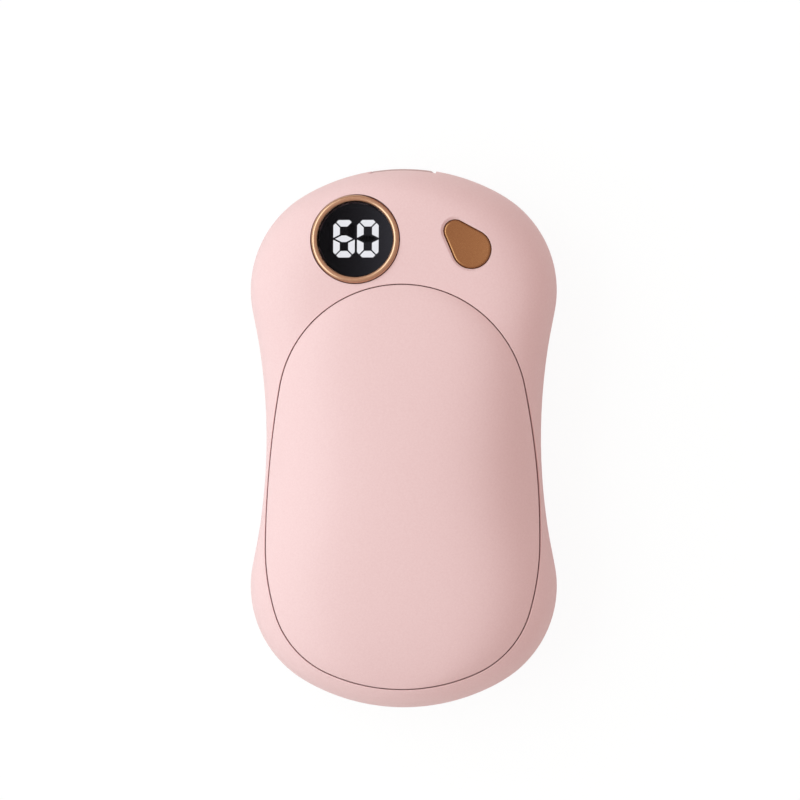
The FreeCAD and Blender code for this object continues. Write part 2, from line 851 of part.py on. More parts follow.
def usb_socket_shell():
    """Drawn steel shell of the charging socket, open at both ends."""
    back = socket_mouth_y - socket_length
    shell = slot_prism(socket_width, socket_height, back, socket_mouth_y)
    inside = slot_prism(socket_width - 2 * socket_sheet, socket_height - 2 * socket_sheet,
                        back - overrun, socket_mouth_y + overrun)
    return shell.cut(inside)


def usb_tongue():
    """Moulded tongue that stands in the socket on a base that closes its back."""
    back = socket_mouth_y - socket_length
    gap = socket_sheet + tongue_clearance
    base = slot_prism(socket_width - 2 * gap, socket_height - 2 * gap, back, back + tongue_base)
    blade = box(-tongue_width / 2, tongue_width / 2, back, socket_mouth_y - tongue_setback,
                port_z - tongue_thickness / 2, port_z + tongue_thickness / 2)
    return base.fuse(blade).removeSplitter()


def usb_contacts():
    """Rows of contacts on both faces of the tongue."""
    tip = socket_mouth_y - tongue_setback - contact_pitch
    contacts = []
    for side in (1, -1):
        near, far = sorted((side * tongue_thickness / 2, side * (tongue_thickness / 2 + contact_thickness)))
        for place in range(contacts_per_side):
            middle = (place - (contacts_per_side - 1) / 2) * contact_pitch
            contacts.append(box(middle - contact_width / 2, middle + contact_width / 2,
                                tip - contact_length, tip, port_z + near, port_z + far))
    return Part.makeCompound(contacts)


# Display, drawn about its own axis and carried to its seat

def display_bezel():
    """Ring with a round crest."""
    crest = (bezel_outer_radius - bezel_inner_radius) / 2
    corners = [Vector(bezel_inner_radius, 0, 0), Vector(bezel_inner_radius, 0, -bezel_depth),
               Vector(bezel_outer_radius, 0, -bezel_depth), Vector(bezel_outer_radius, 0, 0)]
    edges = [Part.LineSegment(*pair).toShape() for pair in zip(corners, corners[1:])]
    edges.append(Part.Arc(corners[-1], Vector(bezel_inner_radius + crest, 0, crest), corners[0]).toShape())
    ring = Part.Face(Part.Wire(edges)).revolve(Vector(0, 0, 0), Vector(0, 0, 1), 360)
    return seated(ring, display_seat)


def display_lens():
    """Smoked disc inside the ring."""
    lens = disc(bezel_inner_radius - lens_clearance, -bezel_depth, lens_thickness - bezel_depth)
    rim = [edge for edge in lens.Edges if edge.BoundBox.ZMin > -bezel_depth + lens_thickness / 2]
    return seated(lens.makeFillet(lens_edge_round, rim), display_seat)


def segment_outlines():
    """The bars of a digit about its middle: three of them drawn, the rest their mirror images."""
    side = digit_width / 2
    end = digit_height / 2
    inner_side = side - segment_width
    inner_end = end - segment_width
    middle = segment_width / 2
    near = (segment_corner - segment_gap) / 2
    far = (segment_corner + segment_gap) / 2
    bar_side = inner_side - 2 * segment_gap
    top_side = inner_side - segment_gap
    top = [(far - side, end - near), (segment_corner - side, end), (side - segment_corner, end),
           (side - far, end - near), (top_side, inner_end), (-top_side, inner_end)]
    left = [(near - side, end - far), (-inner_side, inner_end - segment_gap),
            (-inner_side, middle + segment_gap), (-side, segment_gap), (-side, end - segment_corner)]
    bar = [(2 * segment_gap - side, 0), (-bar_side, middle), (bar_side, middle), (side - 2 * segment_gap, 0),
           (bar_side, -middle), (-bar_side, -middle)]

    def mirrored(spots, turn_x, turn_y):
        return [(turn_x * x, turn_y * y) for x, y in spots]

    return {"top": top, "middle": bar, "bottom": mirrored(top, 1, -1), "upper_left": left,
            "upper_right": mirrored(left, -1, 1), "lower_left": mirrored(left, 1, -1),
            "lower_right": mirrored(left, -1, -1)}


dark_places = ((-1, "upper_right"), (1, "middle"))


def segment_bar(spots, x, y, grow):
    """One bar of a digit just under the lens, or with a growth the pocket for it."""
    low = -bezel_depth - module_lens_gap - segment_depth - grow
    high = -bezel_depth - module_lens_gap
    face = Part.Face(Part.makePolygon([Vector(x + a, y + b, low) for a, b in [*spots, spots[0]]]))
    if grow:
        face = face.makeOffset2D(grow, join=2)
    return face.extrude(Vector(0, 0, high - low))


def digit_bars(lit, grow=0):
    """The lit or the dark bars of both digits."""
    bars = []
    for side in (-1, 1):
        middle = side * (digit_width + digit_gap) / 2
        for name, spots in segment_outlines().items():
            if ((side, name) in dark_places) != lit:
                bars.append(segment_bar(spots, middle, digit_raise, grow))
    return bars


def display_module():
    """Light box under the lens, with a pocket for each bar of the digits."""
    high = -bezel_depth - display_floor
    body = disc(module_plug_radius, high - module_height / 2, -bezel_depth - module_lens_gap)
    block = box(-module_width / 2, module_width / 2, -module_depth / 2, module_depth / 2,
                high - module_height, high)
    pockets = digit_bars(True, segment_clearance) + digit_bars(False, segment_clearance)
    return seated(body.fuse(block).cut(pockets).removeSplitter(), display_seat)


def pin_places():
    """Where the display's pins go through the board."""
    places = []
    for row in (1, -1):
        for place in range(pins_per_row):
            offset = (place - (pins_per_row - 1) / 2) * pin_pitch
            places.append((display_x + offset, display_y + row * pin_rows_apart / 2))
    return places


def display_pins(module):
    """Pins from the light box down through the board."""
    high = display_seat.Base.z - bezel_depth - display_floor - module_height / 2
    return Part.makeCompound([column(x, y, pin_radius, board_under - pin_tail, high).cut(module)
                              for x, y in pin_places()])


# Button switch

def switch_body():
    """Square switch on the board with a round well."""
    half = switch_size / 2
    body = box(button_x - half, button_x + half, button_y - half, button_y + half,
               board_top, board_top + switch_height)
    return body.cut(column(button_x, button_y, switch_cavity_radius, board_top + switch_floor, tool_reach))


def switch_plate():
    """Sheet cover that keeps the stem in the switch."""
    half = switch_size / 2
    low = board_top + switch_height
    plate = box(button_x - half, button_x + half, button_y - half, button_y + half,
                low, low + switch_plate_thickness)
    return plate.cut(column(button_x, button_y, switch_hole_radius, low - overrun, tool_reach))


def switch_stem():
    """Plunger that passes the button's travel to the snap dome."""
    collar = column(button_x, button_y, stem_collar_radius, stem_low, stem_low + stem_collar_height)
    return collar.fuse(column(button_x, button_y, stem_radius, stem_low, stem_high)).removeSplitter()


def switch_dome():
    """Snap dome of thin sheet under the stem."""
    base_radius = switch_cavity_radius - dome_clearance
    radius = (base_radius ** 2 + dome_height ** 2) / (2 * dome_height)
    low = board_top + switch_floor
    centre = Vector(button_x, button_y, low + dome_height - radius)
    cap = Part.makeSphere(radius, centre).cut(Part.makeSphere(radius - dome_sheet, centre))
    return cap.common(column(button_x, button_y, switch_size, low, low + switch_height))


# Board and what stands on it

board_half = half_width - board_inset
board_depth = half_length - board_inset - board_rear_y
chip_shares = ((-0.75, 0.5, 0.2, 0.16), (0.03, 0.4, 0.17, 0.17), (0.8, 0.5, 0.13, 0.13))
capacitor_shares = ((-0.06, 0.1), (0.06, 0.1), (0.25, 0.5), (0.25, 0.62), (-0.62, 0.12), (0.8, 0.68))
inductor_x_share = 0.56
inductor_y_share = 0.19


def on_board(share_x, share_y, length, width, height):
    """A block that stands on the board, with its place given as shares of the board."""
    x = share_x * board_half
    y = board_rear_y + share_y * board_depth
    return box(x - length / 2, x + length / 2, y - width / 2, y + width / 2, board_top, board_top + height)


def main_board():
    """Board across the head of the casing, with holes for its screws and the display's pins."""
    board = outline_prism(casing, -board_inset, board_under, board_top)
    board = board.common(box(-half_width, half_width, board_rear_y, half_length, 0, tool_reach))
    holes = [column(x, y, screw_shank_radius + screw_pass_clearance, 0, tool_reach)
             for x, y in board_screw_places]
    holes += [column(x, y, pin_radius + pin_clearance, 0, tool_reach) for x, y in pin_places()]
    return board.cut(holes)


def board_chips():
    """Controller, charger and heater driver."""
    return Part.makeCompound([on_board(x, y, length * board_half, width * board_half, chip_height)
                              for x, y, length, width in chip_shares])


def board_inductor():
    """Moulded choke of the charger."""
    choke = on_board(inductor_x_share, inductor_y_share, inductor_size, inductor_size, inductor_height)
    upright = [edge for edge in choke.Edges if edge.BoundBox.ZLength > inductor_height / 2]
    return choke.makeFillet(inductor_round, upright)


def board_capacitors():
    """Chip capacitors."""
    return Part.makeCompound([on_board(x, y, capacitor_length, capacitor_width, capacitor_height)
                              for x, y in capacitor_shares])


def screw(x, y, seat, length):
    """Pan-head screw with a cross recess."""
    body = column(x, y, screw_head_radius, seat, seat + screw_head_height)
    body = body.fuse(column(x, y, screw_shank_radius, seat - length, seat))
    low = seat + screw_head_height - screw_recess_depth
    long_half = screw_recess_length / 2
    short_half = screw_recess_width / 2
    cross = [box(x - a, x + a, y - b, y + b, low, seat + overrun)
             for a, b in ((long_half, short_half), (short_half, long_half))]
    return body.cut(cross).removeSplitter()


def case_screws():
    """Screws under the panel that hold the shells together."""
    return Part.makeCompound([screw(x, y, case_screw_seat, screw_length) for x, y in case_screw_places])


def board_screws():
    """Screws that hold the board to its posts."""
    return Part.makeCompound([screw(x, y, board_top, board_screw_length) for x, y in board_screw_places])


# Battery

def pouch_cell(low):
    """Flat cell with soft long edges."""
    half = cell_width / 2
    cell = box(-half, half, cell_low_y, cell_high_y, low, low + cell_thickness)
    long_edges = [edge for edge in cell.Edges if edge.BoundBox.YLength > cell_length / 2]
    return cell.makeFillet(cell_round, long_edges)


def cell_tape():
    """Foam tape between the cells."""
    half = cell_width / 2 - cell_round
    return box(-half, half, cell_low_y, cell_high_y, rear_cell_top, front_cell_low)


protection_low = (rear_cell_top + front_cell_low - protection_thickness) / 2


def protection_board():
    """Narrow board across the cells' terminals."""
    near = cell_high_y + tab_sheet
    return box(-protection_width / 2, protection_width / 2, near, near + protection_depth,
               protection_low, protection_low + protection_thickness)


def battery_tabs():
    """Nickel tabs that join both cells to the protection board."""
    low = rear_cell_low + cell_thickness / 2
    high = front_cell_low + cell_thickness / 2
    return Part.makeCompound([box(side * tab_offset - tab_width / 2, side * tab_offset + tab_width / 2,
                                  cell_high_y, cell_high_y + tab_sheet, low, high) for side in (1, -1)])


# Heaters

def front_layer(inset, high_y, upper_drop, lower_drop):
    """A sheet under the belly panel, between two depths below the panel's inside."""
    layer = outline_prism(egg, -inset, rear_height, tool_reach)
    layer = layer.common(box(-half_width, half_width, -half_length, high_y, 0, tool_reach))
    layer = layer.cut(above(moved(belly_inside, 0, 0, -upper_drop)))
    return layer.cut(below(moved(belly_inside, 0, 0, -lower_drop)))


def front_pad():
    """Foam block that presses the front heater against the panel."""
    pad = box(-front_pad_width / 2, front_pad_width / 2, front_pad_bottom, front_pad_top,
              front_cell_top, tool_reach)
    return pad.cut(above(moved(belly_inside, 0, 0, -heat_sheet - film_sheet)))


# Leads: straight runs joined by arcs as large as the runs allow

def lead(points, radius):
    """A round wire along a route."""
    spots = [Vector(*point) for point in points]
    edges = []
    start = spots[0]
    for before, corner, after in zip(spots, spots[1:], spots[2:]):
        inward = (corner - before).normalize()
        outward = (after - corner).normalize()
        turn = inward.getAngle(outward)
        reach = bend_share * min((corner - before).Length, (after - corner).Length)
        bend = reach / math.tan(turn / 2)
        middle = corner + (outward - inward).normalize() * (bend / math.cos(turn / 2) - bend)
        arc = Part.Arc(corner - inward * reach, middle, corner + outward * reach)
        edges += [Part.LineSegment(start, arc.StartPoint).toShape(), arc.toShape()]
        start = arc.EndPoint
    edges.append(Part.LineSegment(start, spots[-1]).toShape())
    path = Part.Wire(edges)
    round_end = Part.Wire([Part.Circle(spots[0], spots[1] - spots[0], radius).toShape()])
    wire = path.makePipeShell([round_end], True, False)
    print("lead", round(path.Length, 1), "mm, volume over section times length",
          round(wire.Volume / (math.pi * radius ** 2 * path.Length), 4))
    return wire


def battery_lead(side):
    """Lead from the protection board to the main board."""
    high = protection_low + protection_thickness + battery_lead_radius
    low = board_top + battery_lead_radius
    return lead([(side * 3.0, 19.6, high), (side * 3.0, 23.8, high), (side * 3.6, 26.0, 11.4),
                 (side * 4.2, 28.6, low), (side * 4.2, 31.2, low)], battery_lead_radius)


def front_heater_leads(film):
    """Pair of leads from the front heater over the end of the battery to the board."""
    low = board_top + heater_lead_radius
    leads = []
    for x in (-12.0, -13.4):
        line = Part.makeLine(Vector(x, 7.5, rim_height), Vector(x, 7.5, tool_reach))
        high = line.common(film).BoundBox.ZMin - 2 * heater_lead_radius
        leads.append(lead([(x, 5.0, high), (x, 11.5, high), (x, 18.8, 21.2), (x, 21.0, 16.4), (x, 23.0, 12.6),
                           (x + 0.5, 25.8, 10.4), (x + 1.0, 28.8, low)], heater_lead_radius))
    return Part.makeCompound(leads)


def rear_heater_leads():
    """Pair of leads from the rear heater's tongue up to the board."""
    start = film_top + heater_lead_radius
    low = board_top + heater_lead_radius
    return Part.makeCompound([lead([(x, 19.2, start), (x, 22.0, start), (x, 23.9, 5.6), (x, 24.4, 8.6),
                                    (x, 25.9, 11.2), (x, 28.8, low)], heater_lead_radius)
                              for x in (-7.5, -8.9)])


def thermistor():
    """Bead on the rear heater's tongue."""
    centre_z = film_top + thermistor_radius
    start = Vector(thermistor_x - thermistor_length / 2, thermistor_y, centre_z)
    return Part.makeCylinder(thermistor_radius, thermistor_length, start, Vector(1, 0, 0))


def thermistor_leads():
    """Fine pair of leads from the bead up to the board."""
    start = film_top + thermistor_radius
    first = thermistor_y + thermistor_radius
    low = board_top + sensor_lead_radius
    return Part.makeCompound([lead([(x, first, start), (x, 22.2, start), (x, 23.9, 5.6), (x, 24.4, 8.6),
                                    (x, 25.9, 10.8), (x, 28.2, low)], sensor_lead_radius)
                              for x in (6.6, 7.4)])


module = display_module()
film = front_layer(front_heat_inset + film_margin, front_heat_top - film_margin, heat_sheet,
                   heat_sheet + film_sheet)
nodes = {
    "rear_shell": rear_shell(),
    "front_shell": front_shell(),
    "front_panel": front_panel(),
    "case_screws": case_screws(),
    "port_cover": port_cover(),
    "cover_hinge_pin": hinge_column(hinge_pin_radius, hinge_pin_overhang - hinge_pin_clearance),
    "usb_socket_shell": usb_socket_shell(),
    "usb_tongue": usb_tongue(),
    "usb_contacts": usb_contacts(),
    "display_bezel": display_bezel(),
    "display_lens": display_lens(),
    "display_module": module,
    "lit_segments": Part.makeCompound([seated(bar, display_seat) for bar in digit_bars(True)]),
    "dark_segments": Part.makeCompound([seated(bar, display_seat) for bar in digit_bars(False)]),
    "display_pins": display_pins(module),
    "power_button": power_button(),
    "switch_body": switch_body(),
    "switch_plate": switch_plate(),
    "switch_stem": switch_stem(),
    "switch_dome": switch_dome(),
    "main_board": main_board(),
    "board_screws": board_screws(),
    "board_chips": board_chips(),
    "board_inductor": board_inductor(),
    "board_capacitors": board_capacitors(),
    "battery_cell_rear": pouch_cell(rear_cell_low),
    "battery_cell_front": pouch_cell(front_cell_low),
    "cell_tape": cell_tape(),
    "protection_board": protection_board(),
    "battery_tabs": battery_tabs(),
    "battery_lead_red": battery_lead(1),
    "battery_lead_black": battery_lead(-1),
    "rear_heat_plate": rounded_plate(rear_heat_width / 2, cell_low_y, cell_high_y, floor_top, heat_top,
                                     rear_corner_radius),
    "rear_heater_film": rounded_plate(rear_film_width / 2, cell_low_y, cell_high_y + rear_film_tongue,
                                      heat_top, film_top, rear_corner_radius),
    "rear_pad": rounded_plate(rear_film_width / 2, cell_low_y, cell_high_y, film_top, rear_cell_low,
                              rear_corner_radius),
    "front_heat_plate": front_layer(front_heat_inset, front_heat_top, 0, heat_sheet),
    "front_heater_film": film,
    "front_pad": front_pad(),
    "front_heater_leads": front_heater_leads(film),
    "rear_heater_leads": rear_heater_leads(),
    "thermistor": thermistor(),
    "thermistor_leads": thermistor_leads(),
}

os.makedirs("parts", exist_ok=True)
for name, shape in nodes.items():
    shape.exportStep(os.path.join("parts", name + ".step"))
    print(name, len(shape.Solids), shape.isValid(), round(shape.Volume, 1))
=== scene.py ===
"""Finishes, lights and camera for a rechargeable hand warmer with a soft-touch pebble casing."""
import math

import bpy
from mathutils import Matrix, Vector


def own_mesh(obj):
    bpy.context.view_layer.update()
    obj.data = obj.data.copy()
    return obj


bl_info = {
    "name": "Hand Warmer Dressing",
    "version": (1, 0, 0),
    "blender": (4, 5, 0),
    "location": "3D View > Sidebar > Hand Warmer",
    "description": "Gives the packed hand warmer its finishes, stage, lights and camera",
    "category": "Object",
}

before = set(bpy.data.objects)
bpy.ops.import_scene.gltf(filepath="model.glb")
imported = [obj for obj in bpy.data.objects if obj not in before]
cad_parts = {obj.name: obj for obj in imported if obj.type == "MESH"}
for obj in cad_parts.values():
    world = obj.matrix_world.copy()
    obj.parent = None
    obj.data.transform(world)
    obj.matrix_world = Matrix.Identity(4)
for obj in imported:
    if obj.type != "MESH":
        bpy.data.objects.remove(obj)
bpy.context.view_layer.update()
MM = 0.001
PHOTO_PIXELS = 800


def linear(code):
    """An sRGB hex code as linear red, green, blue and full alpha."""
    parts = [int(code[place:place + 2], 16) / 255 for place in (0, 2, 4)]
    return (*[part / 12.92 if part <= 0.04045 else ((part + 0.055) / 1.055) ** 2.4 for part in parts], 1.0)


def colour(name, description, code):
    """A colour property with an sRGB hex code as its default."""
    return bpy.props.FloatVectorProperty(name=name, description=description, subtype="COLOR", size=4,
                                         default=linear(code), min=0, max=1)


def add(tree, kind, links=(), settings=(), **inputs):
    """Adds a node, sets its properties and its sockets, and links sockets given with their source."""
    node = tree.nodes.new(kind)
    for name, value in dict(settings).items():
        setattr(node, name, value)
    for name, value in inputs.items():
        node.inputs[name.replace("_", " ")].default_value = value
    for socket, source in links:
        tree.links.new(source, node.inputs[socket])
    return node


def new_material(name):
    """An empty material with its output node."""
    material = bpy.data.materials.new(name)
    material.use_nodes = True
    material.node_tree.nodes.clear()
    return material, material.node_tree, material.node_tree.nodes.new("ShaderNodeOutputMaterial")


def grained(name, light, dark, roughness, grain, relief, stretch=(1, 1, 1), spread=0.06, **shader):
    """A finish whose colour, gloss and height vary with one grain: grain and relief are in millimetres."""
    material, tree, output = new_material(name)
    place = add(tree, "ShaderNodeTexCoord")
    turned = add(tree, "ShaderNodeMapping", [("Vector", place.outputs["Object"])], Scale=stretch)
    noise = add(tree, "ShaderNodeTexNoise", [("Vector", turned.outputs["Vector"])],
                Scale=1 / (grain * MM), Detail=3.0, Roughness=0.55)
    tone = add(tree, "ShaderNodeValToRGB", [("Fac", noise.outputs["Fac"])])
    for stop, level, tint in zip(tone.color_ramp.elements, (0.3, 0.7), (dark, light)):
        stop.position = level
        stop.color = linear(tint) if isinstance(tint, str) else tint
    gloss = add(tree, "ShaderNodeMapRange", [("Value", noise.outputs["Fac"])],
                To_Min=max(roughness - spread, 0.02), To_Max=min(roughness + spread, 1.0))
    height = add(tree, "ShaderNodeBump", [("Height", noise.outputs["Fac"])],
                 Strength=0.5, Distance=relief * MM)
    surface = add(tree, "ShaderNodeBsdfPrincipled",
                  [("Base Color", tone.outputs["Color"]), ("Roughness", gloss.outputs["Result"]),
                   ("Normal", height.outputs["Normal"])], **shader)
    tree.links.new(surface.outputs["BSDF"], output.inputs["Surface"])
    return material


def finish(material, *nodes):
    """Gives nodes of the frame a finish in place of their plain one."""
    for node in nodes:
        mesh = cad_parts[node].data
        mesh.materials.clear()
        mesh.materials.append(material)


class CasingSizes(bpy.types.PropertyGroup):
    """Finish of the casing."""
    light: colour("Paint", "Soft-touch paint", "EDC9C9")
    dark: colour("Paint grain", "Darker grain of the paint", "E9C3C3")
    # The door's two colours are the casing paint darkened: painted shade on the upward-facing door.
    door: colour("Door", "Paint of the socket's door", "C29796")
    shaded_door_grain: colour("Door grain", "Darker grain of the door", "BC908F")
    grain: bpy.props.FloatProperty(name="Grain", description="Paint grain in millimetres",
                                   default=0.35, min=0.05)


class DisplaySizes(bpy.types.PropertyGroup):
    """Finish of the display and the button."""
    ring: colour("Ring", "Polished rose-gold plate", "CBA083")
    ring_dark: colour("Ring grain", "Darker grain of the polished plate", "C2967A")
    cap: colour("Button", "Satin rose-gold plate", "AE7B54")
    cap_dark: colour("Button grain", "Darker grain of the satin plate", "A5724C")
    tint: colour("Lens tint", "Smoked lens", "57575C")
    glow: bpy.props.FloatProperty(name="Glow", description="Brightness of the lit bars", default=9.0, min=0)
    index: bpy.props.FloatProperty(name="Lens index", default=1.2, min=1,
                                   description="Refractive index of the lens, low for its weak reflection")
    # Painted reflection: a glow on the light box, brightest at its right side, stands in for a reflection on
    # the lens.
    painted_reflection_glow: bpy.props.FloatProperty(name="Leak", description="Glow of the light box at its brighter side",
                                  default=0.3, min=0)
    give: bpy.props.FloatProperty(name="Dome give", default=0.505, min=0,
                                  description="How far the snap dome flattens, in millimetres")


class StageSizes(bpy.types.PropertyGroup):
    """Lights and camera."""
    key: bpy.props.FloatProperty(name="Key", description="Power of the left softbox", default=7.4, min=0,
                                 unit="POWER")
    key_place: bpy.props.FloatVectorProperty(name="Key place", description="Middle of the left softbox",
                                             default=(-0.68, 0.1, 0.68), unit="LENGTH")
    key_size: bpy.props.FloatVectorProperty(name="Key size", size=2, default=(1.4, 0.7), unit="LENGTH",
                                            description="Length and height of the left softbox")
    key_tint: colour("Key tint", "Cool daylight of the softbox", "D9FBFF")
    ambient: bpy.props.FloatProperty(name="Ambient", description="Surrounding light where it is strongest",
                                     default=0.83, min=0)
    ambient_tint: colour("Ambient tint", "Warm tone of the surrounding light", "FFF1EB")
    ambient_lean: bpy.props.FloatVectorProperty(name="Ambient lean", subtype="DIRECTION",
                                                default=(-0.32, 0.17, 0.932),
                                                description="Where the surrounding light is strongest")
    ambient_end: bpy.props.FloatProperty(name="Ambient end", default=-1.8, max=-1,
                                         description="Share along the lean at which that light would be gone")
    floor_size: bpy.props.FloatProperty(name="Floor size", default=4.0, unit="LENGTH",
                                        description="Side of the square floor")
    floor_white: bpy.props.FloatProperty(name="Floor white", default=0.9, min=0, max=1,
                                         description="How much of the floor's shadow the camera misses")
    floor_glow: bpy.props.FloatProperty(name="Floor glow", default=1.02, min=0,
                                        description="Brightness of the floor's white")
    aim: bpy.props.FloatVectorProperty(name="Aim", size=2, default=(-3.75, 38),
                                       description="Where the camera looks, in pixels from the origin")
    aim_height: bpy.props.FloatProperty(name="Aim height", default=10.5,
                                        description="Height of that place in millimetres")
    view_width: bpy.props.FloatProperty(name="View width", default=0.15154, unit="LENGTH",
                                        description="Width of the photograph at the casing")
    distance: bpy.props.FloatProperty(name="Camera distance", default=4.0, unit="LENGTH",
                                      description="From the casing's middle to the camera")
    tilt: bpy.props.FloatProperty(name="Camera tilt", description="Lean of the view towards the right",
                                  default=math.radians(1.9), subtype="ANGLE")


class WARMER_OT_casing(bpy.types.Operator):
    """Paint the casing, the belly panel and the door, and finish their fasteners"""
    bl_idname = "warmer.casing"
    bl_label = "Casing"

    def execute(self, context):
        sizes = context.scene.warmer_casing
        # Soft-touch paint on moulded ABS: a silky, rubbery matt with a very fine grain and a broad highlight.
        paint = grained("soft_touch_paint_on_abs", sizes.light, sizes.dark, 0.5, sizes.grain, 0.004,
                        Specular_IOR_Level=0.2)
        finish(paint, "rear_shell", "front_shell", "front_panel")
        # The same paint on the small door, drawn darker: painted shade, since the door faces upward and is
        # seen edge-on at a grazing angle.
        finish(grained("soft_touch_paint_on_door_with_painted_shade", sizes.door, sizes.shaded_door_grain, 0.5, sizes.grain, 0.004,
                       Specular_IOR_Level=0.4), "port_cover")
        # Zinc-plated steel screws: grey, with a fine turned grain.
        finish(grained("zinc_plated_steel", "9A9A9C", "828286", 0.34, 0.2, 0.004, (1, 1, 6), Metallic=1.0),
               "case_screws", "board_screws")
        # Ground steel pin with a grain along its length.
        finish(grained("ground_steel_pin", "A8A8AC", "96969A", 0.28, 0.15, 0.002, (1, 1, 0.1), Metallic=1.0),
               "cover_hinge_pin")
        return {"FINISHED"}


class WARMER_OT_display(bpy.types.Operator):
    """Finish the display's ring, lens, bars and light box"""
    bl_idname = "warmer.display"
    bl_label = "Display"

    def execute(self, context):
        sizes = context.scene.warmer_display
        # Rose-gold plated ABS, polished: a warm, slightly soft mirror with hardly any grain.
        finish(grained("polished_rose_gold_plate", sizes.ring, sizes.ring_dark, 0.24, 0.4, 0.0002,
                       spread=0.015, Metallic=1.0), "display_bezel")
        finish(self.lens(sizes), "display_lens")
        finish(self.bars(sizes), "lit_segments")
        # Unlit bars: the same white diffuser, grey and dead behind the smoked lens.
        finish(grained("unlit_diffuser", "17171A", "121214", 0.6, 0.3, 0.002), "dark_segments")
        finish(self.light_box(sizes), "display_module")
        # Tinned brass pins, drawn bright.
        finish(grained("tinned_brass_pin", "B9B7B0", "A3A19A", 0.3, 0.1, 0.002, Metallic=1.0), "display_pins")
        return {"FINISHED"}

    def lens(self, sizes):
        """Smoked acrylic, polished: black at rest, with a faint cool reflection and clear bars behind it."""
        material, tree, output = new_material("smoked_polished_acrylic")
        place = add(tree, "ShaderNodeTexCoord")
        wave = add(tree, "ShaderNodeTexNoise", [("Vector", place.outputs["Object"])],
                   Scale=1 / (6 * MM), Detail=1.0)
        height = add(tree, "ShaderNodeBump", [("Height", wave.outputs["Fac"])],
                     Strength=0.2, Distance=0.004 * MM)
        surface = add(tree, "ShaderNodeBsdfPrincipled", [("Normal", height.outputs["Normal"])],
                      Base_Color=sizes.tint, Roughness=0.03, Transmission_Weight=1.0, IOR=sizes.index,
                      Specular_Tint=linear("E8ECFF"))
        tree.links.new(surface.outputs["BSDF"], output.inputs["Surface"])
        return material

    def light_box(self, sizes):
        """Black ABS with an eroded, dull face, and a painted reflection: a faint glow that grows towards the
        right, standing in for a reflection on the lens.
        """
        material, tree, output = new_material("eroded_black_abs_with_painted_reflection")
        sides = [corner[0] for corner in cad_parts["display_lens"].bound_box]
        width = max(sides) - min(sides)
        place = add(tree, "ShaderNodeTexCoord")
        across = add(tree, "ShaderNodeMapping", [("Vector", place.outputs["Object"])],
                     Location=(-min(sides) / width, 0, 0), Scale=(1 / width, 1, 1))
        slope = add(tree, "ShaderNodeTexGradient", [("Vector", across.outputs["Vector"])],
                    {"gradient_type": "QUADRATIC"})
        # Painted reflection: the glow rises from nothing at the left to its set strength at the right.
        painted_reflection_glow = add(tree, "ShaderNodeMapRange", [("Value", slope.outputs["Fac"])], To_Max=sizes.painted_reflection_glow)
        grain = add(tree, "ShaderNodeTexNoise", [("Vector", place.outputs["Object"])],
                    Scale=1 / (0.2 * MM), Detail=3.0)
        height = add(tree, "ShaderNodeBump", [("Height", grain.outputs["Fac"])],
                     Strength=0.5, Distance=0.002 * MM)
        surface = add(tree, "ShaderNodeBsdfPrincipled",
                      [("Emission Strength", painted_reflection_glow.outputs["Result"]), ("Normal", height.outputs["Normal"])],
                      Base_Color=linear("070709"), Emission_Color=linear("F6F4FC"), Roughness=0.7)
        tree.links.new(surface.outputs["BSDF"], output.inputs["Surface"])
        return material

    def bars(self, sizes):
        """White diffuser lit from behind: even, a touch brighter in patches."""
        material, tree, output = new_material("lit_white_diffuser")
        place = add(tree, "ShaderNodeTexCoord")
        patch = add(tree, "ShaderNodeTexNoise", [("Vector", place.outputs["Object"])], Scale=1 / (1.2 * MM),
                    Detail=1.0)
        level = add(tree, "ShaderNodeMapRange", [("Value", patch.outputs["Fac"])],
                    To_Min=0.94 * sizes.glow, To_Max=1.06 * sizes.glow)
        surface = add(tree, "ShaderNodeBsdfPrincipled", [("Emission Strength", level.outputs["Result"])],
                      Base_Color=linear("E8E8EC"), Emission_Color=linear("F8F8F1"), Roughness=0.5)
        tree.links.new(surface.outputs["BSDF"], output.inputs["Surface"])
        return material


class WARMER_OT_button(bpy.types.Operator):
    """Finish the power button and its switch"""
    bl_idname = "warmer.button"
    bl_label = "Button"

    def execute(self, context):
        sizes = context.scene.warmer_display
        # Rose-gold plated ABS with a satin face.
        finish(grained("satin_rose_gold_plate", sizes.cap, sizes.cap_dark, 0.27, 0.25, 0.0002,
                       spread=0.015, Metallic=1.0), "power_button")
        # Natural and black nylon, moulded, with the faint orange peel of the mould.
        finish(grained("moulded_white_nylon", "D9D8D2", "CFCEC8", 0.5, 0.3, 0.004), "switch_stem")
        finish(grained("moulded_black_nylon", "1B1B1D", "141416", 0.55, 0.3, 0.006),
               "switch_body", "usb_tongue")
        # Thin spring steel with its rolling grain.
        finish(grained("rolled_spring_steel", "B4B4B6", "A2A2A5", 0.25, 0.3, 0.001, (1, 8, 1), Metallic=1.0),
               "switch_dome")
        self.press(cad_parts["switch_dome"], sizes.give)
        return {"FINISHED"}

    def press(self, dome, give):
        """Gives the snap dome a mesh of its own."""
        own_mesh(dome)


